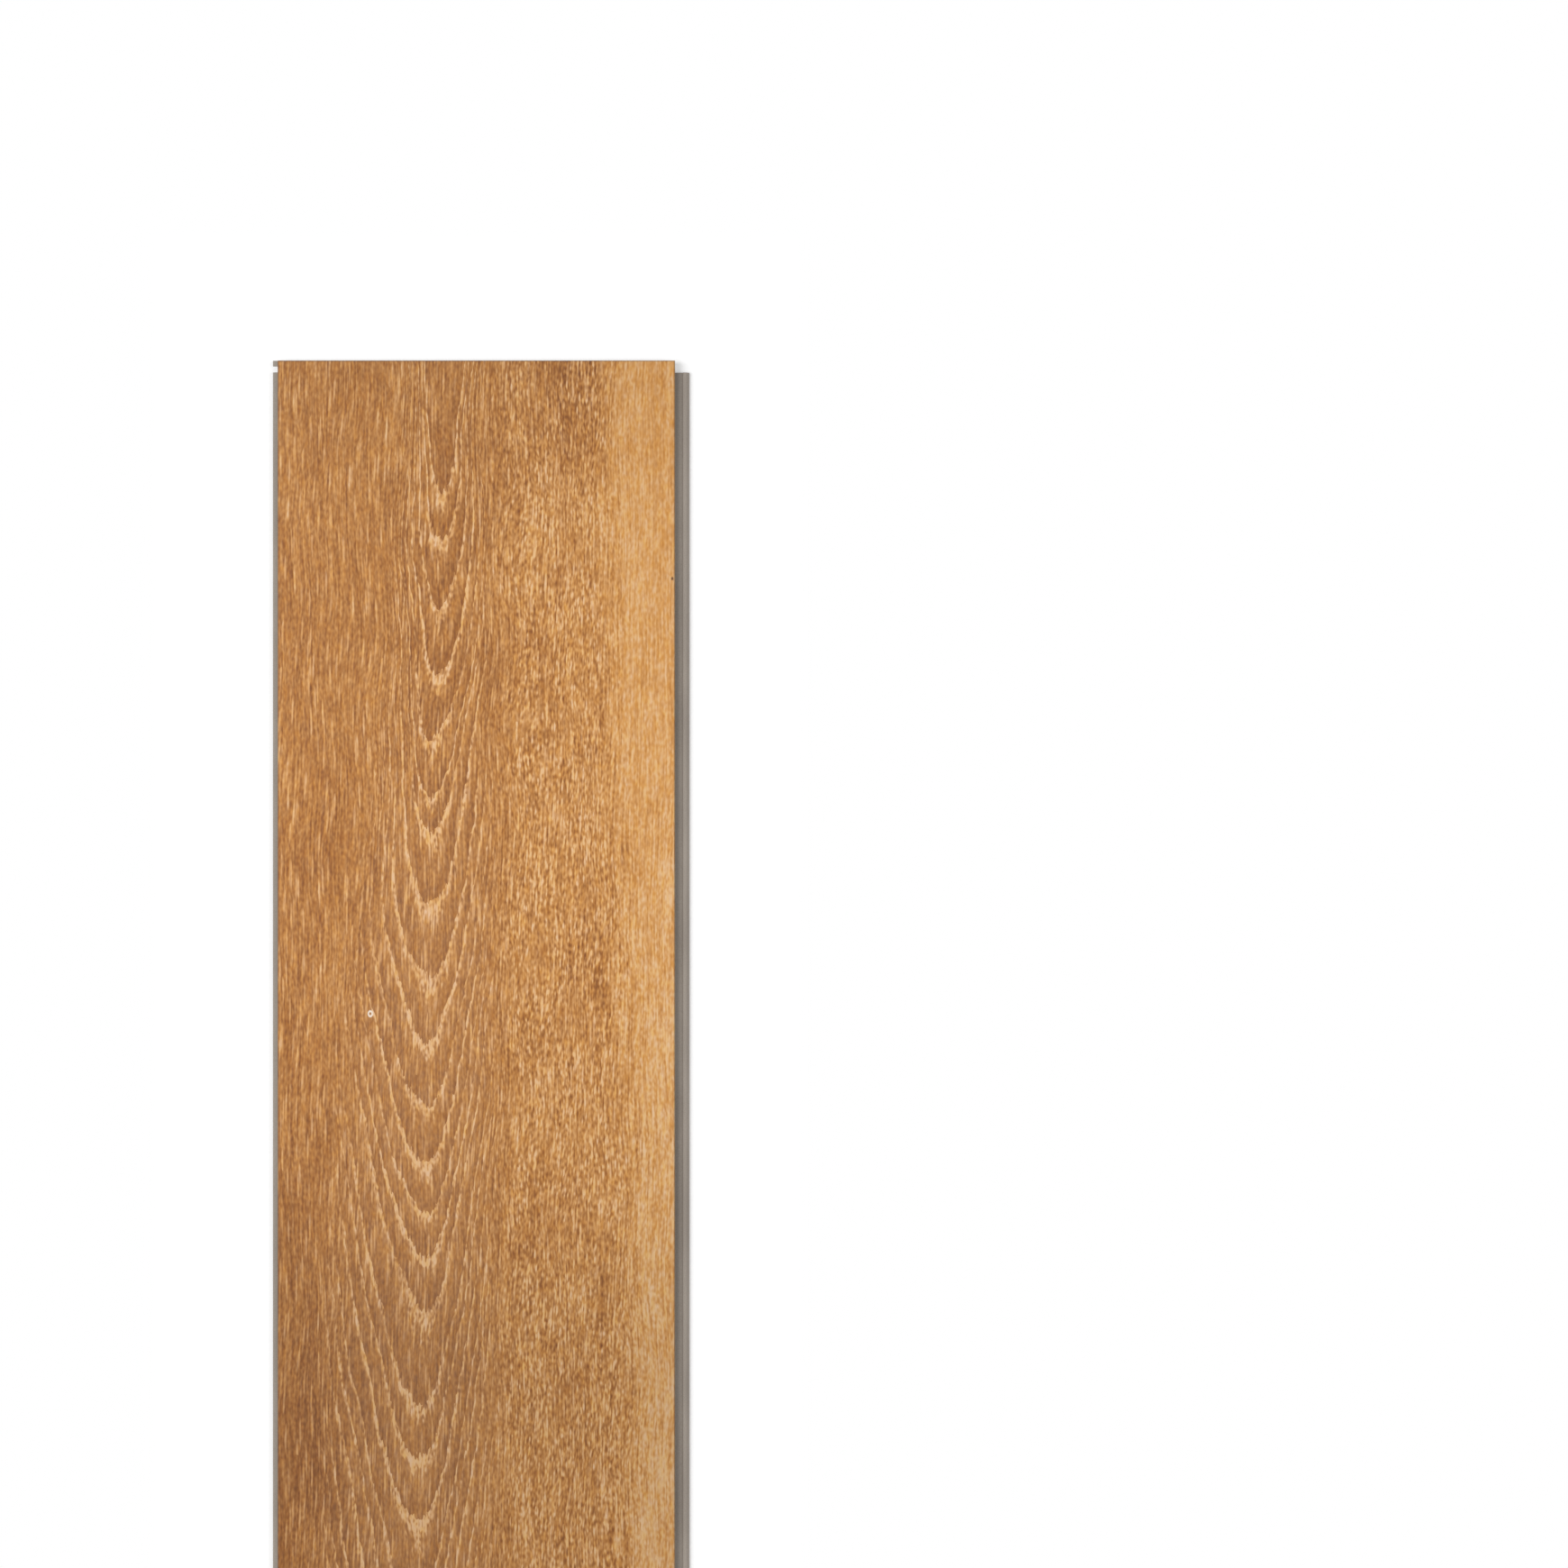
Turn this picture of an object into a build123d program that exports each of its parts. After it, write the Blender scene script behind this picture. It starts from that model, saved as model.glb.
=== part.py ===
"""Click-lock luxury vinyl floor plank.

One pressed and milled board: a flat wear face with a fine bevel round its four top edges, a tongue
and a grooved locking lip along the two long sides, and a drop hook and an upturned receiving hook
on the two short ends. Millimetres, +Z up, the underside on Z = 0 and the origin in the middle of
the rectangle that the plank covers when laid. +Y runs along the plank.
"""

import math
import os

from build123d import *

# Plank, measured between the joint lines of the laid floor
COVER_WIDTH = 180.0
COVER_LENGTH = 1220.0
THICKNESS = 5.0

# Bevel round the wear face, and the broken edges round the underside
BEVEL_WIDTH = 0.5
BEVEL_DEPTH = 0.5
SOLE_CHAMFER = 0.3

# Long sides: a tongue on the left, and on the right a groove over a lip with a locking ridge
TONGUE_REACH = 2.4
TONGUE_THICKNESS = 1.4
TONGUE_NOSE_RADIUS = 0.4
TONGUE_NOSE_FLAT = 0.1
LIP_THICKNESS = 1.7
LIP_TIP_HEIGHT = 1.1
LIP_TIP_SLOPE = 1.3
RIDGE_DISTANCE = 3.2
RIDGE_RISE = 0.8
RIDGE_CREST = 1.5
RIDGE_FACE_ANGLE = 60.0

# Short ends: a hook that drops into the next plank's channel, held down by a snap bead
CHANNEL_FLOOR = 1.4
CHANNEL_WIDTH = 2.4
HOOK_WIDTH = 2.5
HOOK_RISE = 1.7
HOOK_FACE_ANGLE = 82.0
SNAP_FOOT = 0.2
SNAP_SPAN = 1.2
SNAP_REACH = 0.15
SNAP_RADIUS = 1.0

# Clearances between a plank and its laid neighbours
FACE_CLEARANCE = 0.05
ROOF_CLEARANCE = 0.15
DUST_CLEARANCE = 0.3

# Cutter radii, left in the inside corners and on the outside edges of the joints
INSIDE_RADIUS = 0.15
EDGE_RADIUS = 0.25

# The pressed blank is this much longer than the finished plank, and cutters run further past it
BLANK_OVERSIZE = 3.0
CUTTER_OVERRUN = 5.0


def lean(rise, face_angle):
    """How far a face at this angle from level moves sideways over this rise."""
    return rise / math.tan(math.radians(face_angle))


# Joint lines, and the heights and reaches that both halves of a joint share
LEFT_JOINT = -COVER_WIDTH / 2
RIGHT_JOINT = COVER_WIDTH / 2
DROP_JOINT = COVER_LENGTH / 2
RECEIVING_JOINT = -COVER_LENGTH / 2
GROOVE_DEPTH = TONGUE_REACH + DUST_CLEARANCE
GROOVE_ROOF = LIP_THICKNESS + TONGUE_THICKNESS + 2 * FACE_CLEARANCE
RIDGE_TOP = LIP_THICKNESS + RIDGE_RISE
LIP_REACH = RIDGE_DISTANCE + lean(RIDGE_RISE, RIDGE_FACE_ANGLE) + RIDGE_CREST + LIP_TIP_SLOPE
LIP_RECESS = LIP_REACH + DUST_CLEARANCE
HOOK_SOLE = CHANNEL_FLOOR + FACE_CLEARANCE
HOOK_TOP = CHANNEL_FLOOR + HOOK_RISE
HOOK_REACH = CHANNEL_WIDTH + HOOK_WIDTH
HOOK_RECESS = HOOK_REACH + DUST_CLEARANCE
SNAP_HEIGHT = HOOK_SOLE + EDGE_RADIUS + SNAP_FOOT + SNAP_SPAN / 2

# Where the end cutters start and stop, and the bevel carried on past the wear face
CUTTER_TOP = THICKNESS + CUTTER_OVERRUN
CUTTER_BOTTOM = -CUTTER_OVERRUN
CUTTER_LEFT = LEFT_JOINT - TONGUE_REACH - CUTTER_OVERRUN
CUTTER_RIGHT = RIGHT_JOINT + LIP_REACH + CUTTER_OVERRUN
BEVEL_RUN = (BEVEL_DEPTH + CUTTER_OVERRUN) * BEVEL_WIDTH / BEVEL_DEPTH


def groove_side(joint):
    """Right long side from the wear face down, as (across, up, corner radius)."""
    ridge_foot = joint + RIDGE_DISTANCE
    crest_start = ridge_foot + lean(RIDGE_RISE, RIDGE_FACE_ANGLE)
    return [
        (joint - BEVEL_WIDTH, THICKNESS, 0),
        (joint, THICKNESS - BEVEL_DEPTH, 0),
        (joint, GROOVE_ROOF, EDGE_RADIUS),
        (joint - GROOVE_DEPTH, GROOVE_ROOF, INSIDE_RADIUS),
        (joint - GROOVE_DEPTH, LIP_THICKNESS, INSIDE_RADIUS),
        (ridge_foot, LIP_THICKNESS, INSIDE_RADIUS),
        (crest_start, RIDGE_TOP, EDGE_RADIUS),
        (crest_start + RIDGE_CREST, RIDGE_TOP, EDGE_RADIUS),
        (joint + LIP_REACH, LIP_TIP_HEIGHT, EDGE_RADIUS),
        (joint + LIP_REACH, SOLE_CHAMFER, 0),
        (joint + LIP_REACH - SOLE_CHAMFER, 0, 0),
    ]


def tongue_side(joint):
    """Left long side from the underside up, cut to lie over a neighbour's groove side."""
    tongue_floor = LIP_THICKNESS + FACE_CLEARANCE
    tongue_top = tongue_floor + TONGUE_THICKNESS
    tongue_sole_radius = TONGUE_THICKNESS - TONGUE_NOSE_RADIUS - TONGUE_NOSE_FLAT
    recess_roof = RIDGE_TOP + ROOF_CLEARANCE
    lock_foot = joint + RIDGE_DISTANCE - FACE_CLEARANCE
    lock_top = lock_foot + lean(recess_roof - LIP_THICKNESS, RIDGE_FACE_ANGLE)
    lock_bottom = lock_foot + lean(tongue_floor - LIP_THICKNESS, RIDGE_FACE_ANGLE)
    return [
        (joint + LIP_RECESS + SOLE_CHAMFER, 0, 0),
        (joint + LIP_RECESS, SOLE_CHAMFER, 0),
        (joint + LIP_RECESS, recess_roof, INSIDE_RADIUS),
        (lock_top, recess_roof, INSIDE_RADIUS),
        (lock_bottom, tongue_floor, EDGE_RADIUS),
        (joint - TONGUE_REACH, tongue_floor, tongue_sole_radius),
        (joint - TONGUE_REACH, tongue_top, TONGUE_NOSE_RADIUS),
        (joint, tongue_top, INSIDE_RADIUS),
        (joint, THICKNESS - BEVEL_DEPTH, 0),
        (joint + BEVEL_WIDTH, THICKNESS, 0),
    ]


def drop_end_cutter(joint):
    """What is milled off the far end: it leaves the snap bead, the hook and the recess behind it."""
    recess_roof = HOOK_TOP + ROOF_CLEARANCE
    recess_wall = joint - HOOK_RECESS
    hook_back = joint - CHANNEL_WIDTH + FACE_CLEARANCE
    cutter_end = joint + CUTTER_OVERRUN
    return [
        (joint - BEVEL_RUN, CUTTER_TOP, 0),
        (joint, THICKNESS - BEVEL_DEPTH, 0),
        (joint, SNAP_HEIGHT + SNAP_SPAN / 2, 0),
        (joint + SNAP_REACH, SNAP_HEIGHT, SNAP_RADIUS),
        (joint, SNAP_HEIGHT - SNAP_SPAN / 2, 0),
        (joint, HOOK_SOLE, EDGE_RADIUS),
        (hook_back - lean(HOOK_SOLE - CHANNEL_FLOOR, HOOK_FACE_ANGLE), HOOK_SOLE, EDGE_RADIUS),
        (hook_back - lean(recess_roof - CHANNEL_FLOOR, HOOK_FACE_ANGLE), recess_roof, INSIDE_RADIUS),
        (recess_wall, recess_roof, INSIDE_RADIUS),
        (recess_wall, SOLE_CHAMFER, 0),
        (recess_wall - SOLE_CHAMFER - CUTTER_OVERRUN, CUTTER_BOTTOM, 0),
        (cutter_end, CUTTER_BOTTOM, 0),
        (cutter_end, CUTTER_TOP, 0),
    ]


def receiving_end_cutter(joint):
    """What is milled off the near end: it leaves the upturned hook, its channel and the snap notch."""
    notch_half = SNAP_SPAN / 2 + FACE_CLEARANCE
    hook_tip = joint - HOOK_REACH
    cutter_end = hook_tip - CUTTER_OVERRUN
    return [
        (joint + BEVEL_RUN, CUTTER_TOP, 0),
        (joint, THICKNESS - BEVEL_DEPTH, 0),
        (joint, SNAP_HEIGHT + notch_half, 0),
        (joint + SNAP_REACH + FACE_CLEARANCE, SNAP_HEIGHT, SNAP_RADIUS),
        (joint, SNAP_HEIGHT - notch_half, 0),
        (joint, CHANNEL_FLOOR, INSIDE_RADIUS),
        (joint - CHANNEL_WIDTH, CHANNEL_FLOOR, INSIDE_RADIUS),
        (joint - CHANNEL_WIDTH - lean(HOOK_RISE, HOOK_FACE_ANGLE), HOOK_TOP, EDGE_RADIUS),
        (hook_tip, HOOK_TOP, EDGE_RADIUS),
        (hook_tip, SOLE_CHAMFER, 0),
        (hook_tip + SOLE_CHAMFER + CUTTER_OVERRUN, CUTTER_BOTTOM, 0),
        (cutter_end, CUTTER_BOTTOM, 0),
        (cutter_end, CUTTER_TOP, 0),
    ]


def milled_run(plane, corners, run):
    """Solid with this section on the plane, run along the plane's normal."""
    points = [(across, up) for across, up, radius in corners]
    radii = [radius for across, up, radius in corners]
    section = make_face(FilletPolyline(*points, radius=radii, close=True))
    return extrude(plane * section, amount=run)


def corner_cut(low, high):
    """Block between two opposite corners, to clear what two crossing profiles leave too thin."""
    sizes = [top - bottom for bottom, top in zip(low, high)]
    return Pos(*low) * Box(*sizes, align=(Align.MIN, Align.MIN, Align.MIN))


# Long sides: one section, run along a blank that is longer than the plank
blank_far = DROP_JOINT + BLANK_OVERSIZE
blank_near = RECEIVING_JOINT - HOOK_REACH - BLANK_OVERSIZE
long_section = groove_side(RIGHT_JOINT) + tongue_side(LEFT_JOINT)
plank = milled_run(Plane.XZ.offset(-blank_far), long_section, blank_far - blank_near)

# Short ends: cutters that cross the blank from the tongue side to the groove side
cutter_plane = Plane.YZ.offset(CUTTER_LEFT)
plank -= milled_run(cutter_plane, drop_end_cutter(DROP_JOINT), CUTTER_RIGHT - CUTTER_LEFT)
plank -= milled_run(cutter_plane, receiving_end_cutter(RECEIVING_JOINT), CUTTER_RIGHT - CUTTER_LEFT)

# Corners: the lip stops where the drop hook starts, and the receiving hook stops short of the
# recess that lies over the neighbour's lip
plank -= corner_cut(
    (RIGHT_JOINT - GROOVE_DEPTH / 2, DROP_JOINT - CHANNEL_WIDTH - HOOK_WIDTH / 2, CUTTER_BOTTOM),
    (CUTTER_RIGHT, DROP_JOINT + CUTTER_OVERRUN, (RIDGE_TOP + GROOVE_ROOF) / 2),
)
plank -= corner_cut(
    (CUTTER_LEFT, RECEIVING_JOINT - HOOK_REACH - CUTTER_OVERRUN, CUTTER_BOTTOM),
    (LEFT_JOINT + LIP_RECESS + DUST_CLEARANCE, RECEIVING_JOINT - CHANNEL_WIDTH / 2, CUTTER_TOP),
)

os.makedirs("parts", exist_ok=True)
export_step(plank, "parts/plank.step")
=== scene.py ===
import math

import bmesh
import bpy
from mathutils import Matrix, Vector


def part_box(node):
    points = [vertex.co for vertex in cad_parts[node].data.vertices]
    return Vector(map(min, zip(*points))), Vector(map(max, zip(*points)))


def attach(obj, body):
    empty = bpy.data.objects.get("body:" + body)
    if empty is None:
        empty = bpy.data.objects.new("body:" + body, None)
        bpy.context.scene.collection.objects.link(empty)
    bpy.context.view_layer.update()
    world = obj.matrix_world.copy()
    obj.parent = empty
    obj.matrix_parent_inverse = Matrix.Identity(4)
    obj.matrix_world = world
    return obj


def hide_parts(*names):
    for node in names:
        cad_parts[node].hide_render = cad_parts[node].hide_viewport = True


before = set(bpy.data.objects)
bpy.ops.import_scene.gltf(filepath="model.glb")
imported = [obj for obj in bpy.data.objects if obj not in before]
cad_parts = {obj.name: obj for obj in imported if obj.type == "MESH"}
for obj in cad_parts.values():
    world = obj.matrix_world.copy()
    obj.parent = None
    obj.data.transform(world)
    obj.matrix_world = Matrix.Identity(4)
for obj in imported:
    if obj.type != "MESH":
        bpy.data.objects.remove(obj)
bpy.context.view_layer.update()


# Plank: a rigid vinyl board with a printed oak film and a clear wear layer pressed onto it. The press
# plate sinks the oak's grain into the face, and the joints are milled afterwards through the bare core.

MM = 0.001
COVER_WIDTH = 180 * MM
COVER_LENGTH = 1220 * MM
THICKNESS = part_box("plank")[1].z
BEVEL = 0.5 * MM


def srgb(red, green, blue):
    """Linear colour of an 8-bit colour as a photograph or screen shows it."""
    shares = [value / 255 for value in (red, green, blue)]
    return tuple(s / 12.92 if s <= 0.04045 else ((s + 0.055) / 1.055) ** 2.4 for s in shares) + (1.0,)


class Bench:
    """Adds nodes to one node tree, shader or geometry, and links each to the ones it needs."""

    SEED_STEP = (7.3, 3.9)
    ASKEW = (0.7, 0.5, 0.4)
    PORE_STAGGER = 0.3
    PORE_RIM = 0.42
    PORE_BODY = 0.16

    def __init__(self, tree):
        self.tree = tree

    def add(self, kind, **settings):
        """New node of this kind with these settings."""
        made = self.tree.nodes.new(kind)
        for name, value in settings.items():
            setattr(made, name, value)
        return made

    def plug(self, socket, value):
        """Link an output to this socket, or set the socket to a plain value."""
        if isinstance(value, bpy.types.NodeSocket):
            self.tree.links.new(value, socket)
        else:
            socket.default_value = value

    def calc(self, operation, *values):
        """Result of one sum on these values."""
        made = self.add("ShaderNodeMath", operation=operation)
        for socket, value in zip(made.inputs, values):
            self.plug(socket, value)
        return made.outputs[0]

    def span(self, value, low, high, start=0.0, end=1.0):
        """Smooth step from start to end, as the value goes from low to high."""
        made = self.add("ShaderNodeMapRange", interpolation_type="SMOOTHSTEP")
        for socket, each in zip(made.inputs, (value, low, high, start, end)):
            self.plug(socket, each)
        return made.outputs[0]

    def curve(self, value, points, reach):
        """Free curve through (value, result) points, both within their reach."""
        made = self.add("ShaderNodeFloatCurve")
        line = made.mapping.curves[0]
        while len(line.points) < len(points):
            line.points.new(0.5, 0.5)
        for spot, (at, result) in zip(line.points, points):
            spot.location = (at / reach[0], result / reach[1])
            spot.handle_type = "AUTO"
        made.mapping.extend = "EXTRAPOLATED"
        made.mapping.update()
        self.plug(made.inputs["Value"], self.calc("DIVIDE", value, reach[0]))
        return self.calc("MULTIPLY", made.outputs[0], reach[1])

    def cells(self, x, y, width, length, seed):
        """Place in cells of this width across and length along the plank, in mm."""
        spot = self.add("ShaderNodeCombineXYZ")
        self.plug(spot.inputs[0], self.calc("MULTIPLY_ADD", x, 1 / width, self.SEED_STEP[0] * seed))
        self.plug(spot.inputs[1], self.calc("MULTIPLY_ADD", y, 1 / length, self.SEED_STEP[1] * seed))
        return spot.outputs[0]

    def noise(self, x, y, width, length, seed, detail=0.0):
        """Noise about 0.5 in spots of this width and length, cut askew so that no rows show."""
        askew = self.add("ShaderNodeVectorRotate", rotation_type="EULER_XYZ")
        askew.inputs["Rotation"].default_value = self.ASKEW
        self.plug(askew.inputs["Vector"], self.cells(x, y, width, length, seed))
        made = self.add("ShaderNodeTexNoise")
        made.inputs["Scale"].default_value = 1.0
        made.inputs["Detail"].default_value = detail
        self.plug(made.inputs["Vector"], askew.outputs[0])
        return made.outputs[0]

    def swing(self, noise, reach=1.0):
        """Noise turned into a shift of up to this reach either way."""
        return self.calc("MULTIPLY", self.calc("SUBTRACT", noise, 0.5), 2 * reach)

    def pores(self, x, y, width, length, seed, none, all_lit):
        """One dash in each cell of this width and length, lit by the cell's own number."""
        made = self.add("ShaderNodeTexVoronoi", voronoi_dimensions="2D", feature="F1")
        made.inputs["Scale"].default_value = 1.0
        staggered = self.calc("MULTIPLY_ADD", x, self.PORE_STAGGER * length / width, y)
        self.plug(made.inputs["Vector"], self.cells(x, staggered, width, length, seed))
        body = self.span(made.outputs["Distance"], self.PORE_RIM, self.PORE_BODY)
        return self.calc("MULTIPLY", body, self.span(made.outputs["Color"], none, all_lit))

    def mix(self, share, first, second, blend_type="MIX"):
        """Colour mixed from two."""
        made = self.add("ShaderNodeMix", data_type="RGBA", blend_type=blend_type)
        self.plug(made.inputs[0], share)
        self.plug(made.inputs[6], first)
        self.plug(made.inputs[7], second)
        return made.outputs[2]


def plank_places(bench, place):
    """Millimetres across the plank from its middle, and along it from the far end."""
    parts = bench.add("ShaderNodeSeparateXYZ")
    bench.plug(parts.inputs[0], place)
    across = bench.calc("DIVIDE", parts.outputs[0], MM)
    along = bench.calc("DIVIDE", bench.calc("SUBTRACT", COVER_LENGTH / 2, parts.outputs[1]), MM)
    return across, along


GRAIN_WANDER = 2.2


def grain_places(bench, place):
    """Place straight across, across as the grain wanders, and along the plank, in mm."""
    straight, along = plank_places(bench, place)
    wander = bench.noise(straight, along, width=24, length=55, seed=3.0)
    across = bench.calc("ADD", straight, bench.swing(wander, GRAIN_WANDER))
    return straight, across, along


# Growth rings: loops about a heart line that leans to the left. Each loop's tip has its distance from the
# far end in mm. Its sides fall away at their own rates, and faster towards the far end, where it is narrow.
HEART_START = -14.8
HEART_LEAN = -0.021
RING_TIPS = (
    61, 84, 112, 142, 173, 199, 214, 246, 281, 308, 338, 362, 386, 406, 429, 475,
    498, 527, 561, 583, 610, 646, 671, 690, 724, 752, 789, 811, 838, 872, 896, 921,
    955, 987, 1009, 1040, 1064, 1101, 1127, 1150, 1181, 1213, 1240, 1270, 1298, 1327,
)
RING_AT_END = 0.45
UPPER_PART = (260, 130)
FAR_PART = (95, 15)
LEFT_FALL = 0.159
LEFT_FALL_UPPER = 2.4
LEFT_FALL_FAR = 4.0
RIGHT_FALL = 0.292
RIGHT_FALL_UPPER = 0.2
RIGHT_FALL_FAR = 1.6
LOOP_SHOULDER = 58
RING_WAVE = 6.0


def growth_rings(bench, across, along):
    """Number of the growth ring here, and the distance to the right of the print's heart line."""
    heart = bench.calc("MULTIPLY_ADD", along, HEART_LEAN, HEART_START)
    off_heart = bench.calc("SUBTRACT", across, heart)
    distance = bench.calc("ABSOLUTE", off_heart)
    upper = bench.span(along, *UPPER_PART)
    far = bench.span(along, *FAR_PART)
    left_fall = bench.calc("MULTIPLY_ADD", upper, LEFT_FALL_UPPER, 1.0)
    left_fall = bench.calc("MULTIPLY_ADD", far, LEFT_FALL_FAR, left_fall)
    left_fall = bench.calc("MULTIPLY", left_fall, LEFT_FALL)
    right_fall = bench.calc("MULTIPLY_ADD", upper, RIGHT_FALL_UPPER, 1.0)
    right_fall = bench.calc("MULTIPLY_ADD", far, RIGHT_FALL_FAR, right_fall)
    right_fall = bench.calc("MULTIPLY", right_fall, RIGHT_FALL)
    on_right = bench.span(off_heart, -1.0, 1.0)
    change = bench.calc("MULTIPLY", bench.calc("SUBTRACT", right_fall, left_fall), on_right)
    fall = bench.calc("MULTIPLY", bench.calc("ADD", left_fall, change), bench.calc("POWER", distance, 2.0))
    fall = bench.calc("DIVIDE", fall, bench.calc("MULTIPLY_ADD", distance, 1 / LOOP_SHOULDER, 1.0))
    wave = bench.swing(bench.noise(across, along, width=9, length=26, seed=4.0, detail=1.0), RING_WAVE)
    tip = bench.calc("ADD", bench.calc("ADD", along, fall), wave)
    points = [(0, RING_AT_END)] + [(at, number) for number, at in enumerate(RING_TIPS, start=1)]
    return bench.curve(tip, points, (RING_TIPS[-1], len(RING_TIPS))), off_heart


# Zones of the print, in mm. The edges of the loops, counted from the heart line, and of the calm strip on
# the right move outwards between two places along the plank; each fades in over some width.
LOOPS_LEFT = (20, 430, -26, -56)
LOOPS_LEFT_FADE = 0.3
LOOPS_RIGHT = (20, 430, 28, 40)
LOOPS_RIGHT_FADE = 0.4
CALM_EDGE = (60, 460, 64, 74)
CALM_TEETH = 9.0
CALM_FADE = (-15, 8)
FLECK_FADE = (2, 24)


def oak_zones(bench, across, along, off_heart, long_thread):
    """Shares of the loops about the heart, of the calm strip, and of the flecked wood between them."""
    left_edge = bench.span(along, *LOOPS_LEFT)
    right_edge = bench.span(along, *LOOPS_RIGHT)
    left_side = bench.span(off_heart, left_edge, bench.calc("MULTIPLY", left_edge, LOOPS_LEFT_FADE))
    right_side = bench.span(off_heart, right_edge, bench.calc("MULTIPLY", right_edge, LOOPS_RIGHT_FADE))
    loops = bench.calc("MULTIPLY", left_side, right_side)
    inside_calm = bench.calc("SUBTRACT", across, bench.span(along, *CALM_EDGE))
    calm = bench.span(bench.calc("MULTIPLY_ADD", long_thread, CALM_TEETH, inside_calm), *CALM_FADE)
    flecked = bench.calc("MULTIPLY", bench.span(across, *FLECK_FADE), bench.calc("SUBTRACT", 1.0, calm))
    return loops, calm, flecked


# Limed pores: bright dashes, short and crowded in the flecked wood, long and few elsewhere, and hardly
# any in the calm strip. The short ones are broken up by the short threads.
LONG_PORE_LIME = 0.65
SHORT_PORE_LIME = 0.85
CALM_PORES = -0.85
PORE_BREAKS = 0.8
PORE_MEAN = 0.9


def limed_pores(bench, across, along, short_thread, flecks, calm):
    """Lime in the pores."""
    long_pores = bench.pores(across, along, width=1.5, length=19, seed=14.0, none=0.60, all_lit=0.25)
    long_pores = bench.calc("MULTIPLY", long_pores, bench.calc("MULTIPLY_ADD", calm, CALM_PORES, 1.0))
    short_pores = bench.pores(across, along, width=1.25, length=6.5, seed=15.0, none=0.75, all_lit=0.40)
    breaks = bench.calc("MULTIPLY_ADD", short_thread, PORE_BREAKS, PORE_MEAN)
    short_pores = bench.calc("MULTIPLY", bench.calc("MULTIPLY", short_pores, breaks), flecks)
    short_lime = bench.calc("MULTIPLY", short_pores, SHORT_PORE_LIME)
    return bench.calc("MULTIPLY_ADD", long_pores, LONG_PORE_LIME, short_lime)


# Ring lines: limed early wood starts each ring sharply, in beads, and drips out of it at the loop's tip.
# Some rings are louder than others, and all are loud near the heart.
TIP_SHIFT = 1.5
TIP_WIDTH = (15, 3, 0.4, 1.0)
DRIP_REACH = (0.30, 0.72, 0.10, 0.50)
DRIP_FADE = (1.0, 0.35)
LINE_FADE = (0.26, 0.10)
RING_LOUDNESS = (0.32, 0.56, 0.30, 1.0)
HEART_LOUDNESS = (16, 5, 0.0, 0.75)
BEADS_SHORT = 1.1
BEADS_MID = 0.8
BEADS_MEAN = 0.8
BEADS_LEAST = 0.1


def ring_lines(bench, across, along, rings, off_heart, short_thread, mid_thread):
    """Strength of the limed lines of the growth rings."""
    phase = bench.calc("FRACT", rings)
    off_tip = bench.calc("ABSOLUTE", bench.calc("ADD", off_heart, TIP_SHIFT))
    drip = bench.noise(across, along, width=1.05, length=9, seed=7.0)
    reach = bench.calc("MULTIPLY", bench.span(drip, *DRIP_REACH), bench.span(off_tip, *TIP_WIDTH))
    early = bench.span(bench.calc("DIVIDE", phase, reach), *DRIP_FADE)
    early = bench.calc("MAXIMUM", early, bench.span(phase, *LINE_FADE))
    loudness = bench.noise(rings, along, width=0.8, length=45, seed=11.0, detail=1.0)
    at_heart = bench.span(bench.calc("ABSOLUTE", off_heart), *HEART_LOUDNESS)
    loudness = bench.calc("MAXIMUM", bench.span(loudness, *RING_LOUDNESS), at_heart)
    beads = bench.calc("MULTIPLY_ADD", mid_thread, BEADS_MID, BEADS_MEAN)
    beads = bench.calc("MULTIPLY_ADD", short_thread, BEADS_SHORT, beads)
    beads = bench.calc("MAXIMUM", beads, BEADS_LEAST)
    return bench.calc("MULTIPLY", early, bench.calc("MULTIPLY", loudness, beads))


# Grain: how much each kind of thread, the wide clouds, the lime and the browner late wood before each
# ring line count in the light and dark of the wood. Short threads count for more in the flecked wood.
SHORT_GRAIN = 0.27
FLECK_GRAIN = 0.22
MID_GRAIN = 0.25
LONG_GRAIN = 0.26
CALM_GRAIN = -0.05
CLOUD_GRAIN = 0.16
LIME_GRAIN = 0.45
LATE_GRAIN = -0.15


def wood_grain(bench, threads, flecks, calm, cloud, lime, late):
    """Light and dark of the wood about 0."""
    short_thread, mid_thread, long_thread = threads
    short_share = bench.calc("MULTIPLY_ADD", flecks, FLECK_GRAIN, SHORT_GRAIN)
    grain = bench.calc("MULTIPLY", short_thread, short_share)
    grain = bench.calc("MULTIPLY_ADD", mid_thread, MID_GRAIN, grain)
    grain = bench.calc("MULTIPLY_ADD", long_thread, LONG_GRAIN, grain)
    grain = bench.calc("MULTIPLY_ADD", grain, bench.calc("MULTIPLY_ADD", calm, CALM_GRAIN, 1.0), cloud)
    grain = bench.calc("MULTIPLY_ADD", lime, LIME_GRAIN, grain)
    return bench.calc("MULTIPLY_ADD", late, LATE_GRAIN, grain)


# Tone: where on the ink's scale each zone lies. The calm strip is palest; the flecked wood is browner at
# the far end, and the left side is browner farther along.
WOOD_TONE = 0.43
FLECK_TONE = 0.10
CALM_TONE = (80, 330, 0.33, 0.39)
BROWN_END = (80, 15, 0.0, -0.12)
BROWN_SIDE = (-20, -70)
BROWN_SIDE_ALONG = (320, 470, 0.0, -0.10)


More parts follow.
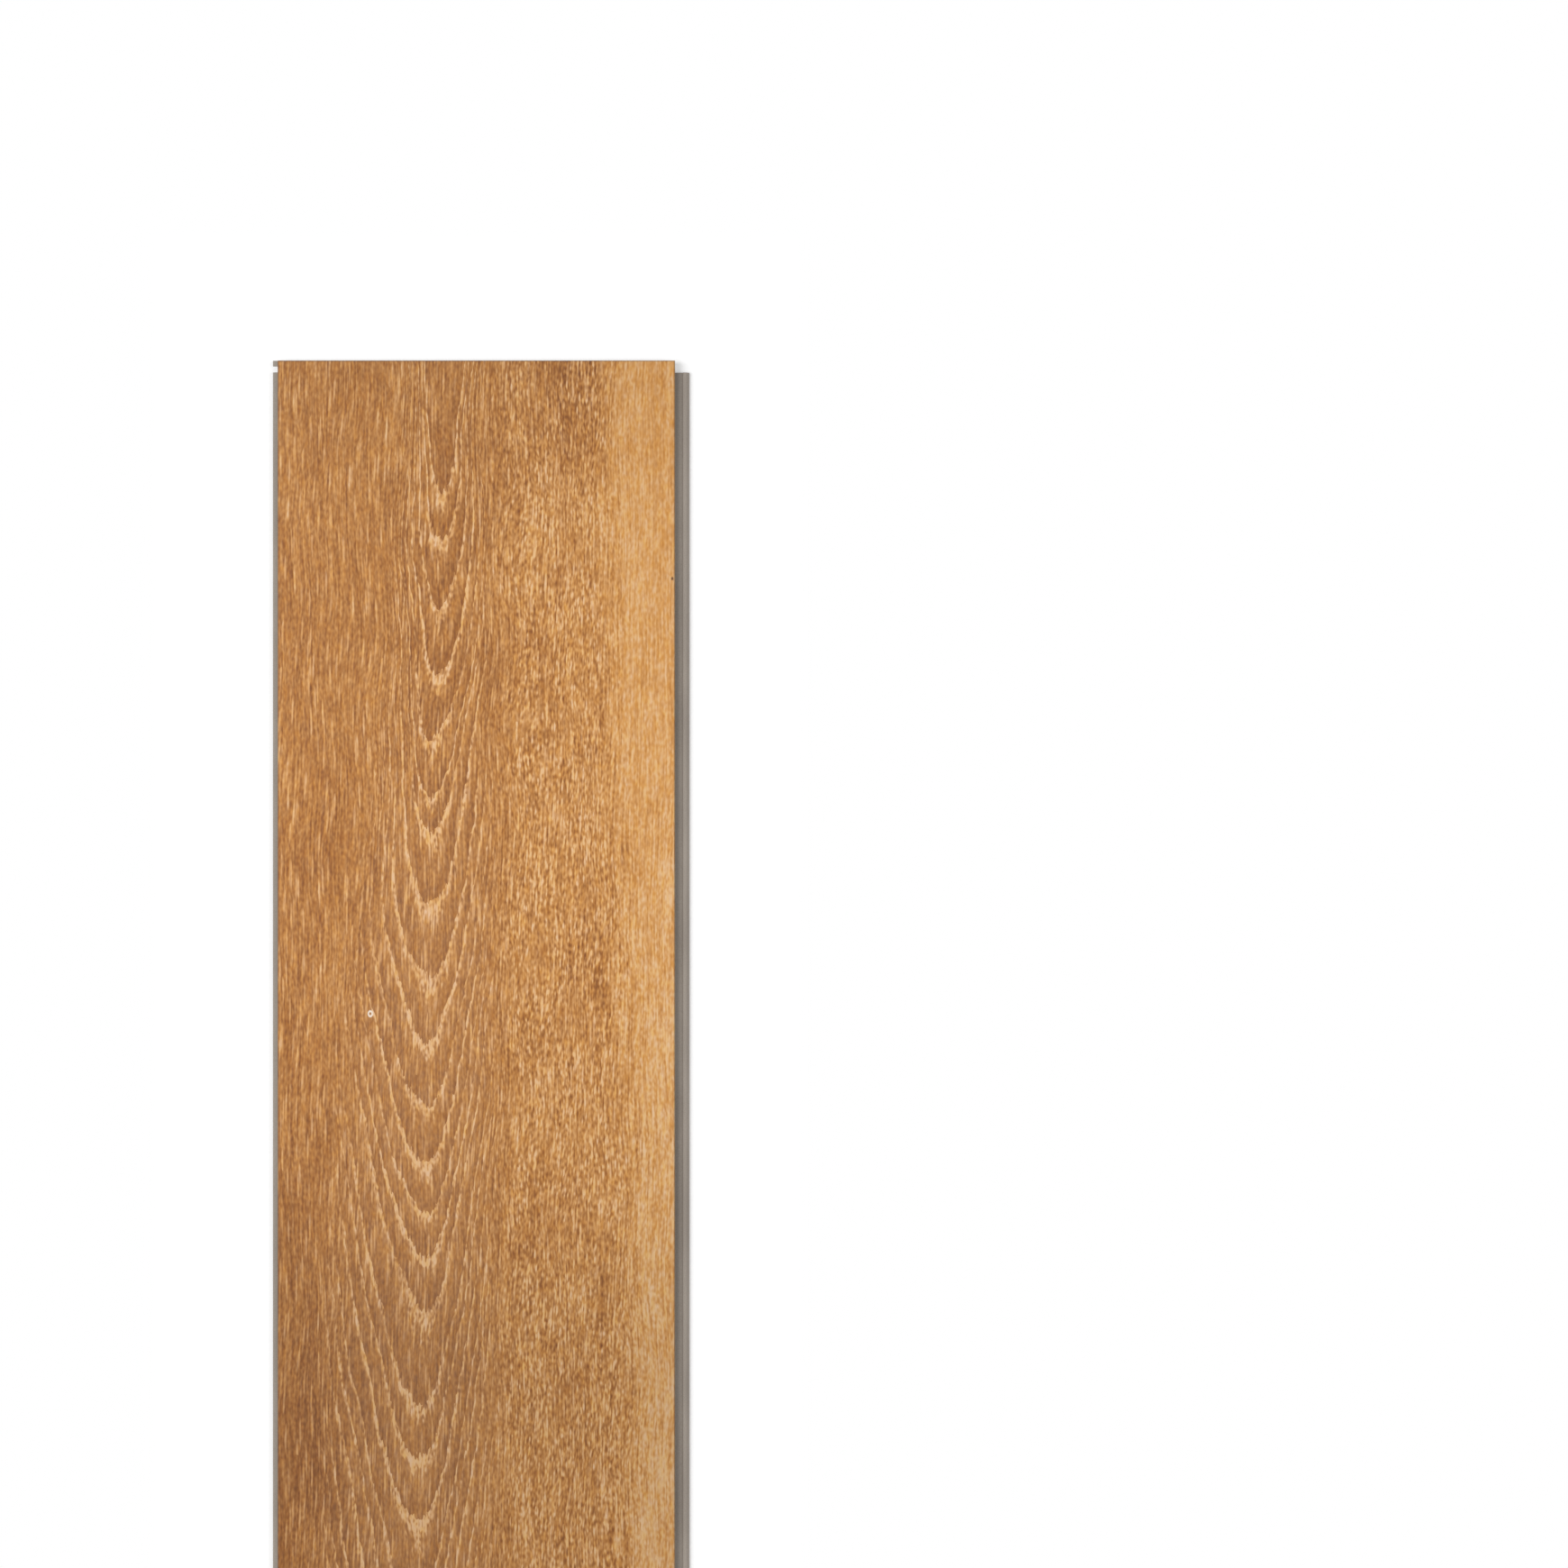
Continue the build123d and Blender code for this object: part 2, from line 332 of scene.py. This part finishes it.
def zone_tone(bench, across, along, calm, flecked):
    """Tone of the wood here, before its grain."""
    tone = bench.calc("MULTIPLY_ADD", flecked, FLECK_TONE, WOOD_TONE)
    tone = bench.calc("MULTIPLY_ADD", calm, bench.span(along, *CALM_TONE), tone)
    brown_end = bench.calc("MULTIPLY", flecked, bench.span(along, *BROWN_END))
    brown_side = bench.span(across, *BROWN_SIDE)
    brown_side = bench.calc("MULTIPLY", brown_side, bench.span(along, *BROWN_SIDE_ALONG))
    return bench.calc("ADD", tone, bench.calc("ADD", brown_end, brown_side))


# Ink: dark brown to limed cream, with a pale haze over the loops, honey in the calm strip, cream lime,
# fine spots of greyer and yellower wood, and lighter and darker stretches along the plank.
INK_STOPS = (
    (0.0, (122, 66, 10)),
    (0.25, (151, 92, 30)),
    (0.5, (179, 119, 53)),
    (0.75, (205, 147, 80)),
    (1.0, (222, 179, 124)),
)
HAZE = srgb(192, 145, 98)
HAZE_ALONG = (120, 300, 0.03, 0.16)
HONEY = srgb(207, 146, 72)
HONEY_ALONG = (330, 60, 0.0, 0.22)
LIME = srgb(226, 180, 130)
LIME_SHARE = 0.4
TINT_GREEN = 0.13
TINT_BLUE = 0.70
SHADE_ALONG = (
    (0, 0.90), (110, 1.0), (270, 1.0), (370, 0.92), (470, 0.78),
    (620, 0.84), (850, 0.97), (1040, 0.88), (1220, 0.95),
)
SHADE_REACH = (1220, 1.25)


def oak_ink(bench, across, along, tone, lime, loops, calm):
    """Colour of the printed wood for its tone, lime and zones."""
    ink = bench.add("ShaderNodeValToRGB")
    stops = ink.color_ramp.elements
    while len(stops) < len(INK_STOPS):
        stops.new(0.5)
    for stop, (at, colour) in zip(stops, INK_STOPS):
        stop.position = at
        stop.color = srgb(*colour)
    bench.plug(ink.inputs[0], tone)
    haze = bench.calc("MULTIPLY", loops, bench.span(along, *HAZE_ALONG))
    colour = bench.mix(haze, ink.outputs[0], HAZE)
    honey = bench.calc("MULTIPLY", calm, bench.span(along, *HONEY_ALONG))
    colour = bench.mix(honey, colour, HONEY)
    colour = bench.mix(bench.calc("MULTIPLY", lime, LIME_SHARE), colour, LIME)
    greyer = bench.swing(bench.noise(across, along, width=1.7, length=5, seed=17.0, detail=1.0))
    tint = bench.add("ShaderNodeCombineColor")
    tint.inputs["Red"].default_value = 1.0
    bench.plug(tint.inputs["Green"], bench.calc("MULTIPLY_ADD", greyer, TINT_GREEN, 1.0))
    bench.plug(tint.inputs["Blue"], bench.calc("MULTIPLY_ADD", greyer, TINT_BLUE, 1.0))
    colour = bench.mix(1.0, colour, tint.outputs[0], "MULTIPLY")
    shaded = bench.add("ShaderNodeVectorMath", operation="SCALE")
    bench.plug(shaded.inputs[0], colour)
    bench.plug(shaded.inputs["Scale"], bench.curve(along, SHADE_ALONG, SHADE_REACH))
    return shaded.outputs[0]


# Two small marks, in mm: a white ring left by a droplet, and a dark speck beside the right bevel. Both are
# three quarters as wide across the plank as they are long.
MARK_ASPECT = 0.75
DROPLET_PLACE = (-48.0, 295.9)
DROPLET_RADIUS = 0.85
DROPLET_FADE = (0.55, 0.15)
DROPLET_WHITE = srgb(236, 222, 205)
DROPLET_SHARE = 0.9
SPECK_PLACE = (88.8, 98.8)
SPECK_FADE = (0.8, 0.3)
SPECK_BROWN = srgb(84, 52, 28)
SPECK_SHARE = 0.85


def far_from(bench, straight, along, spot):
    """Distance to a mark."""
    here = bench.add("ShaderNodeCombineXYZ")
    bench.plug(here.inputs[0], straight)
    bench.plug(here.inputs[1], bench.calc("MULTIPLY", along, MARK_ASPECT))
    gap = bench.add("ShaderNodeVectorMath", operation="DISTANCE")
    bench.plug(gap.inputs[0], here.outputs[0])
    gap.inputs[1].default_value = (spot[0], spot[1] * MARK_ASPECT, 0)
    return gap.outputs["Value"]


def add_marks(bench, straight, along, colour):
    """The print's colour with the two marks on it."""
    off_ring = bench.calc("SUBTRACT", far_from(bench, straight, along, DROPLET_PLACE), DROPLET_RADIUS)
    droplet = bench.span(bench.calc("ABSOLUTE", off_ring), *DROPLET_FADE)
    colour = bench.mix(bench.calc("MULTIPLY", droplet, DROPLET_SHARE), colour, DROPLET_WHITE)
    speck = bench.span(far_from(bench, straight, along, SPECK_PLACE), *SPECK_FADE)
    return bench.mix(bench.calc("MULTIPLY", speck, SPECK_SHARE), colour, SPECK_BROWN)


# The film: its threads, zones, pores and rings put together. Ring lines ripple across the grain and are
# ragged along it, by so many mm. Light threads lie deeper than dark ones.
RING_RIPPLE = 0.6
RING_RAGGED = 3.0
FLECK_PATCHES = (0.28, 0.6, 0.35, 1.0)
LINE_LIME = (250, 450, 1.1, 1.25)
MOST_LIME = 1.3
LATE_WOOD = (0.35, 0.95)
LIGHT_RELIEF = -0.5


def oak_print():
    """Node group of the printed film: its colour, how light its grain is, and how far it stands up."""
    group = bpy.data.node_groups.new("oak print", "ShaderNodeTree")
    group.interface.new_socket("Color", in_out="OUTPUT", socket_type="NodeSocketColor")
    group.interface.new_socket("Grain", in_out="OUTPUT", socket_type="NodeSocketFloat")
    group.interface.new_socket("Relief", in_out="OUTPUT", socket_type="NodeSocketFloat")
    bench = Bench(group)
    straight, across, along = grain_places(bench, bench.add("ShaderNodeTexCoord").outputs["Object"])
    short_thread = bench.swing(bench.noise(across, along, width=0.92, length=2.2, seed=1.0))
    mid_thread = bench.swing(bench.noise(across, along, width=0.85, length=10, seed=2.5))
    long_thread = bench.swing(bench.noise(across, along, width=0.85, length=42, seed=6.0, detail=1.0))
    cloud = bench.noise(straight, along, width=18, length=55, seed=5.0, detail=2.0)
    cloud = bench.swing(cloud, CLOUD_GRAIN)
    ripple = bench.swing(bench.noise(straight, along, width=3.0, length=8, seed=8.0), RING_RIPPLE)
    ragged = bench.swing(bench.noise(across, along, width=0.9, length=4, seed=16.0), RING_RAGGED)
    rippled = bench.calc("ADD", across, ripple)
    rings, off_heart = growth_rings(bench, rippled, bench.calc("ADD", along, ragged))
    loops, calm, flecked = oak_zones(bench, across, along, off_heart, long_thread)
    patches = bench.noise(straight, along, width=12, length=26, seed=2.0, detail=1.0)
    flecks = bench.calc("MULTIPLY", flecked, bench.span(patches, *FLECK_PATCHES))

    pores = limed_pores(bench, across, along, short_thread, flecks, calm)
    lines = ring_lines(bench, across, along, rings, off_heart, short_thread, mid_thread)
    lines = bench.calc("MULTIPLY", lines, loops)
    lime = bench.calc("MULTIPLY_ADD", lines, bench.span(along, *LINE_LIME), pores)
    lime = bench.calc("MINIMUM", lime, MOST_LIME)
    late = bench.calc("MULTIPLY", bench.span(bench.calc("FRACT", rings), *LATE_WOOD), loops)
    threads = (short_thread, mid_thread, long_thread)
    grain = wood_grain(bench, threads, flecks, calm, cloud, lime, late)
    tone = bench.calc("ADD", grain, zone_tone(bench, across, along, calm, flecked))
    colour = oak_ink(bench, across, along, tone, lime, loops, calm)

    out = bench.add("NodeGroupOutput")
    bench.plug(out.inputs["Color"], add_marks(bench, straight, along, colour))
    bench.plug(out.inputs["Grain"], grain)
    light_threads = bench.calc("ADD", short_thread, mid_thread)
    bench.plug(out.inputs["Relief"], bench.calc("MULTIPLY", light_threads, LIGHT_RELIEF))
    return group


RELIEF_DEPTH = 0.05 * MM
WEAR_ROUGHNESS = (-0.3, 0.5, 0.44, 0.60)
# The bevels show the oak print darkened to this share. The darkening is painted shade for the dark line in
# the groove between planks.
BEVEL_SHADE = 0.62


def print_material(name, film, shade):
    """Printed film under its satin wear layer, with its grain pressed in, darkened to this shade: painted
    shade where it is below 1, as on the bevels.
    """
    material = bpy.data.materials.new(name)
    material.use_nodes = True
    bench = Bench(material.node_tree)
    shader = bench.tree.nodes["Principled BSDF"]
    oak = bench.add("ShaderNodeGroup", node_tree=film)
    colour = oak.outputs["Color"]
    if shade < 1:
        colour = bench.mix(1.0, colour, (shade, shade, shade, 1), "MULTIPLY")
    bench.plug(shader.inputs["Base Color"], colour)
    bench.plug(shader.inputs["Roughness"], bench.span(oak.outputs["Grain"], *WEAR_ROUGHNESS))
    bump = bench.add("ShaderNodeBump")
    bump.inputs["Strength"].default_value = 1.0
    bump.inputs["Distance"].default_value = RELIEF_DEPTH
    bench.plug(bump.inputs["Height"], oak.outputs["Relief"])
    bench.plug(shader.inputs["Normal"], bump.outputs[0])
    return material


DUST_SIZE = 0.5 * MM
CORE_DARK = srgb(138, 128, 118)
CORE_PALE = srgb(158, 148, 137)
CORE_MOTTLE = (0.3, 0.7)
CORE_ROUGHNESS = (0.2, 0.8, 0.55, 0.72)


def core_material():
    """Bare filled vinyl of the milled joints and the underside: taupe grey with fine stone dust."""
    material = bpy.data.materials.new("vinyl core")
    material.use_nodes = True
    bench = Bench(material.node_tree)
    shader = bench.tree.nodes["Principled BSDF"]
    place = bench.add("ShaderNodeTexCoord").outputs["Object"]
    across, along = plank_places(bench, place)
    dust = bench.add("ShaderNodeTexNoise")
    dust.inputs["Scale"].default_value = 1 / DUST_SIZE
    dust.inputs["Detail"].default_value = 2.0
    bench.plug(dust.inputs["Vector"], place)
    cloud = bench.noise(across, along, width=9, length=40, seed=6.1, detail=2.0)
    half_dust = bench.calc("MULTIPLY", dust.outputs[0], 0.5)
    mottle = bench.calc("ADD", half_dust, bench.calc("MULTIPLY", cloud, 0.5))
    colour = bench.mix(bench.span(mottle, *CORE_MOTTLE), CORE_DARK, CORE_PALE)
    bench.plug(shader.inputs["Base Color"], colour)
    bench.plug(shader.inputs["Roughness"], bench.span(dust.outputs[0], *CORE_ROUGHNESS))
    return material


# Pressed grain: depths of the rings near the heart, of long streaks and of wide hollows. The press starts a
# little way in from the joint lines, in mm, and only the flat face is sunk, not its bevels.
RING_DEPTH = 0.05 * MM
RING_DIP = (0.35, 0.0)
DIP_LEFT = (-50, -15)
DIP_RIGHT = (40, 15)
STREAK_DEPTH = 0.05 * MM
HOLLOW_DEPTH = 0.04 * MM
HOLLOW_FADE = (0.35, 0.7)
PRESS_START = 1.5
PRESS_FULL = 6
FACE_BAND = 0.05 * BEVEL


def pressed_grain():
    """Node group that sinks the wear face a little along the grain, as the press plate does."""
    group = bpy.data.node_groups.new("pressed grain", "GeometryNodeTree")
    group.interface.new_socket("Geometry", in_out="INPUT", socket_type="NodeSocketGeometry")
    group.interface.new_socket("Geometry", in_out="OUTPUT", socket_type="NodeSocketGeometry")
    bench = Bench(group)
    place = bench.add("GeometryNodeInputPosition").outputs[0]
    straight, across, along = grain_places(bench, place)
    rings, off_heart = growth_rings(bench, across, along)
    ring_dip = bench.span(bench.calc("PINGPONG", rings, 0.5), *RING_DIP)
    ring_dip = bench.calc("MULTIPLY", ring_dip, bench.span(off_heart, *DIP_RIGHT))
    ring_dip = bench.calc("MULTIPLY", ring_dip, bench.span(off_heart, *DIP_LEFT))
    streak = bench.span(bench.noise(across, along, width=3.6, length=70, seed=12.0), *HOLLOW_FADE)
    hollow = bench.span(bench.noise(straight, along, width=22, length=90, seed=13.0), *HOLLOW_FADE)
    depth = bench.calc("MULTIPLY", ring_dip, RING_DEPTH)
    depth = bench.calc("MULTIPLY_ADD", streak, STREAK_DEPTH, depth)
    depth = bench.calc("MULTIPLY_ADD", hollow, HOLLOW_DEPTH, depth)
    side = COVER_WIDTH / 2 / MM
    near_end = COVER_LENGTH / MM
    pressed = bench.span(bench.calc("ABSOLUTE", straight), side - PRESS_START, side - PRESS_FULL)
    pressed = bench.calc("MULTIPLY", pressed, bench.span(along, PRESS_START, PRESS_FULL))
    from_near_end = bench.span(along, near_end - PRESS_START, near_end - PRESS_FULL)
    pressed = bench.calc("MULTIPLY", pressed, from_near_end)
    height = bench.add("ShaderNodeSeparateXYZ")
    bench.plug(height.inputs[0], place)
    wear_face = bench.calc("GREATER_THAN", height.outputs[2], THICKNESS - FACE_BAND)
    shift = bench.add("ShaderNodeCombineXYZ")
    bench.plug(shift.inputs[2], bench.calc("MULTIPLY", depth, bench.calc("MULTIPLY", pressed, -1.0)))
    source = bench.add("NodeGroupInput")
    mover = bench.add("GeometryNodeSetPosition")
    bench.plug(mover.inputs["Geometry"], source.outputs["Geometry"])
    bench.plug(mover.inputs["Selection"], wear_face)
    bench.plug(mover.inputs["Offset"], shift.outputs[0])
    result = bench.add("NodeGroupOutput")
    bench.plug(result.inputs["Geometry"], mover.outputs["Geometry"])
    return group


# The three finishes in the mesh's order, and the slopes and heights that tell its faces apart. A joint's
# faces come in steps, counted outwards from the joint line.
FACE, EDGE, CORE = range(3)
FLAT = 0.99
SLOPING = 0.5
LYING = 0.71
TOP_BAND = 0.6 * BEVEL
SOLE_HEIGHT = 0.1 * MM
END_PART = 0.4 * COVER_LENGTH
INNER_STEP = -2 * MM
OUTER_STEP = 1 * MM
WELD = 0.001 * MM

# Bake map, in shares of its square: the printed top, then a strip for each run of joint face, and a wider
# one for the sole.
TOP_SHARE = 0.85
TOP_MARGIN = 0.002
STRIP_WIDTH = 0.004
SOLE_WIDTH = 0.022
STRIP_MARGIN = 0.0006
STRIP_LENGTH = 0.94


def core_strip(face):
    """Strip that this face of the bare core lies in: sole or not, at an end, lying flat, and which one."""
    middle = face.calc_center_median()
    if face.normal.z < -FLAT and middle.z < SOLE_HEIGHT:
        return True, False, True, None
    at_end = abs(middle.y) > END_PART
    place = middle.y if at_end else middle.x
    beyond = abs(place) - (COVER_LENGTH if at_end else COVER_WIDTH) / 2
    step = (beyond > INNER_STEP) + (beyond > OUTER_STEP)
    lying = abs(face.normal.z) > LYING
    facing = face.normal.z if lying else (face.normal.y if at_end else face.normal.x)
    return False, at_end, lying, (place > 0, facing > 0, step)


def lay_out_map(shape):
    """Bake map of the plank, with the printed top over most of the square."""
    spots = shape.loops.layers.uv.new("OFBake")
    strips = {}
    for face in shape.faces:
        if face.material_index == CORE:
            strips.setdefault(core_strip(face), []).append(face)
            continue
        for corner in face.loops:
            across = TOP_MARGIN + (TOP_SHARE - 2 * TOP_MARGIN) * (0.5 + corner.vert.co.x / COVER_WIDTH)
            along = 0.5 + (1 - 2 * TOP_MARGIN) * corner.vert.co.y / COVER_LENGTH
            corner[spots].uv = (across, along)
    left = TOP_SHARE
    for (is_sole, at_end, lying, _), faces in strips.items():
        width = SOLE_WIDTH if is_sole else STRIP_WIDTH
        run_axis = 0 if at_end else 1
        run_length = COVER_WIDTH if at_end else COVER_LENGTH
        rise_axis = 1 - run_axis if lying else 2
        corners = [corner for face in faces for corner in face.loops]
        rises = [corner.vert.co[rise_axis] for corner in corners]
        low = min(rises)
        height = max(max(rises) - low, WELD)
        for corner, rise in zip(corners, rises):
            across = left + STRIP_MARGIN + (rise - low) / height * (width - 2 * STRIP_MARGIN)
            along = 0.5 + STRIP_LENGTH * corner.vert.co[run_axis] / run_length
            corner[spots].uv = (across, along)
        left += width


# The board's mesh: the milled shape with its wear face divided finely, inside a narrow rim, for the press.
# It is cut across first, and the long edges that this leaves, up to the rim's inner side, are cut next.
COPLANAR = 0.01
WEAR_RIM = 1.0 * MM
CUTS_ACROSS = 147
CUTS_ALONG = 405
WHOLE_LENGTH = 0.99 * (COVER_LENGTH - 2 * BEVEL - 2 * WEAR_RIM)
RIM_SIDE = COVER_WIDTH / 2 - BEVEL - 0.9 * WEAR_RIM
SHARP_ANGLE = 0.5
shape = bmesh.new()
shape.from_mesh(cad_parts["plank"].data)
bmesh.ops.remove_doubles(shape, verts=shape.verts, dist=WELD)
bmesh.ops.dissolve_limit(shape, angle_limit=COPLANAR, verts=shape.verts, edges=shape.edges)
for face in shape.faces:
    on_top = face.calc_center_median().z > THICKNESS - TOP_BAND
    if on_top and face.normal.z > FLAT:
        face.material_index = FACE
    elif on_top and face.normal.z > SLOPING:
        face.material_index = EDGE
    else:
        face.material_index = CORE
wear_face = next(face for face in shape.faces if face.material_index == FACE)
bmesh.ops.inset_region(shape, faces=[wear_face], thickness=WEAR_RIM, use_even_offset=True)
ends = [edge for edge in wear_face.edges if edge.calc_length() < COVER_WIDTH]
bmesh.ops.subdivide_edges(shape, edges=ends, cuts=CUTS_ACROSS)
runs = [
    edge for edge in shape.edges
    if edge.calc_length() > WHOLE_LENGTH
    and all(face.material_index == FACE for face in edge.link_faces)
    and max(abs(corner.co.x) for corner in edge.verts) < RIM_SIDE
]
bmesh.ops.subdivide_edges(shape, edges=runs, cuts=CUTS_ALONG)
lay_out_map(shape)
mesh = bpy.data.meshes.new("vinyl_plank")
shape.to_mesh(mesh)
shape.free()
oak_film = oak_print()
mesh.materials.append(print_material("oak wear face", oak_film, 1.0))
# The bevels take the same oak print darkened by BEVEL_SHADE, as painted shade in the seam's groove.
mesh.materials.append(print_material("oak bevel with painted shade", oak_film, BEVEL_SHADE))
mesh.materials.append(core_material())
plank = bpy.data.objects.new("vinyl_plank", mesh)
bpy.context.scene.collection.objects.link(plank)
press = plank.modifiers.new("press", "NODES")
press.node_group = pressed_grain()
pressed = plank.evaluated_get(bpy.context.evaluated_depsgraph_get())
plank.data = bpy.data.meshes.new_from_object(pressed)
plank.modifiers.remove(press)
plank.data.shade_smooth()
plank.data.set_sharp_from_angle(angle=SHARP_ANGLE)
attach(plank, "root")
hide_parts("plank")


# Floor: a round white studio sweep that the plank lies on, turned up into a low wall at its rim. To the
# camera and in reflections it is plain white, with lit paint near the plank so that its soft shadow shows.

SWEEP_RADIUS = 6.0
SWEEP_SIDES = 96
SWEEP_BEND = 1.5
SWEEP_STEPS = 10
SHADOW_REACH = 0.02
PAINT_WHITE = 0.8
PAINT_GLOW = 0.25


def grow_rim(shape, wider, higher):
    """Extrude the floor's rim outwards and upwards."""
    rim = [edge for edge in shape.edges if edge.is_boundary]
    grown = bmesh.ops.extrude_edge_only(shape, edges=rim)["geom"]
    corners = [each for each in grown if isinstance(each, bmesh.types.BMVert)]
    bmesh.ops.scale(shape, vec=(wider, wider, 1), verts=corners)
    bmesh.ops.translate(shape, vec=(0, 0, higher), verts=corners)


def floor_material():
    """White paint for the light that it sends back, and a white background for what sees it."""
    material = bpy.data.materials.new("studio floor")
    material.use_nodes = True
    bench = Bench(material.node_tree)
    paint = bench.tree.nodes["Principled BSDF"]
    paint.inputs["Base Color"].default_value = (PAINT_WHITE, PAINT_WHITE, PAINT_WHITE, 1)
    paint.inputs["Roughness"].default_value = 1.0
    paint.inputs["Specular IOR Level"].default_value = 0.0
    glow = bench.add("ShaderNodeEmission")
    glow.inputs["Strength"].default_value = PAINT_GLOW
    lit_paint = bench.add("ShaderNodeAddShader")
    bench.plug(lit_paint.inputs[0], paint.outputs[0])
    bench.plug(lit_paint.inputs[1], glow.outputs[0])
    spot = bench.add("ShaderNodeSeparateXYZ")
    bench.plug(spot.inputs[0], bench.add("ShaderNodeTexCoord").outputs["Object"])
    beside = bench.calc("SUBTRACT", bench.calc("ABSOLUTE", spot.outputs[0]), COVER_WIDTH / 2)
    beyond = bench.calc("SUBTRACT", bench.calc("ABSOLUTE", spot.outputs[1]), COVER_LENGTH / 2)
    away = bench.calc("MAXIMUM", beside, beyond)
    white = bench.add("ShaderNodeEmission")
    white.inputs["Strength"].default_value = 1.0
    background = bench.add("ShaderNodeMixShader")
    bench.plug(background.inputs[0], bench.span(away, SHADOW_REACH, 3 * SHADOW_REACH))
    bench.plug(background.inputs[1], lit_paint.outputs[0])
    bench.plug(background.inputs[2], white.outputs[0])
    ray = bench.add("ShaderNodeLightPath").outputs
    seen = bench.calc("MAXIMUM", ray["Is Camera Ray"], ray["Is Glossy Ray"])
    seen = bench.calc("MAXIMUM", seen, ray["Is Transmission Ray"])
    shown = bench.add("ShaderNodeMixShader")
    bench.plug(shown.inputs[0], seen)
    bench.plug(shown.inputs[1], paint.outputs[0])
    bench.plug(shown.inputs[2], background.outputs[0])
    bench.plug(bench.tree.nodes["Material Output"].inputs["Surface"], shown.outputs[0])
    material.cycles.emission_sampling = "NONE"
    return material


shape = bmesh.new()
bmesh.ops.create_circle(shape, cap_ends=True, radius=SWEEP_RADIUS, segments=SWEEP_SIDES)
for step in range(1, SWEEP_STEPS + 1):
    turn = 0.5 * math.pi * step / SWEEP_STEPS
    last = 0.5 * math.pi * (step - 1) / SWEEP_STEPS
    wider = (SWEEP_RADIUS + SWEEP_BEND * math.sin(turn)) / (SWEEP_RADIUS + SWEEP_BEND * math.sin(last))
    grow_rim(shape, wider, SWEEP_BEND * (math.cos(last) - math.cos(turn)))
grow_rim(shape, 1, SWEEP_BEND)
mesh = bpy.data.meshes.new("studio_floor")
shape.to_mesh(mesh)
shape.free()
mesh.shade_smooth()
mesh.materials.append(floor_material())
floor = bpy.data.objects.new("studio_floor", mesh)
bpy.context.scene.collection.objects.link(floor)


# Light: one wide soft box high on the left and a weaker one on the right, both turned to a spot near the
# plank's middle, in an even white room. Colours are shown as they are.

LIT_SPOT = Vector((0, 0.1, 0))
BOX_WIDTH = 1.6
BOX_LENGTH = 2.4
ROOM_STRENGTH = 0.38


def soft_box(name, place, power):
    """Wide rectangular lamp turned to the lit spot."""
    lamp = bpy.data.lights.new(name, "AREA")
    lamp.shape = "RECTANGLE"
    lamp.size = BOX_WIDTH
    lamp.size_y = BOX_LENGTH
    lamp.energy = power
    holder = bpy.data.objects.new(name, lamp)
    holder.location = place
    holder.rotation_euler = (LIT_SPOT - Vector(place)).to_track_quat("-Z", "Y").to_euler()
    bpy.context.scene.collection.objects.link(holder)


soft_box("key_box", place=(-1.9, 0.6, 1.9), power=60)
soft_box("fill_box", place=(2.1, 0.3, 2.0), power=30)
room = bpy.data.worlds.new("studio room")
room.use_nodes = True
walls = room.node_tree.nodes["Background"]
walls.inputs["Color"].default_value = (1, 1, 1, 1)
walls.inputs["Strength"].default_value = ROOM_STRENGTH
bpy.context.scene.world = room
bpy.context.scene.view_settings.view_transform = "Standard"


# Camera: straight above, as in the photograph, where the plank's left joint line, right joint line
# and far end lie on these pixels of its square frame.

PHOTO_SIZE = 1740
LEFT_PIXEL = 308
RIGHT_PIXEL = 749
END_PIXEL = 400
CAMERA_HEIGHT = 1.8
pixel = COVER_WIDTH / (RIGHT_PIXEL - LEFT_PIXEL)
view = bpy.data.cameras.new("top_view")
view.sensor_fit = "HORIZONTAL"
view.sensor_width = 36.0
view.lens = view.sensor_width * CAMERA_HEIGHT / (PHOTO_SIZE * pixel)
camera = bpy.data.objects.new("top_view", view)
camera.location = (
    (PHOTO_SIZE / 2 - LEFT_PIXEL) * pixel - COVER_WIDTH / 2,
    COVER_LENGTH / 2 - (PHOTO_SIZE / 2 - END_PIXEL) * pixel,
    THICKNESS + CAMERA_HEIGHT,
)
bpy.context.scene.collection.objects.link(camera)
bpy.context.scene.camera = camera
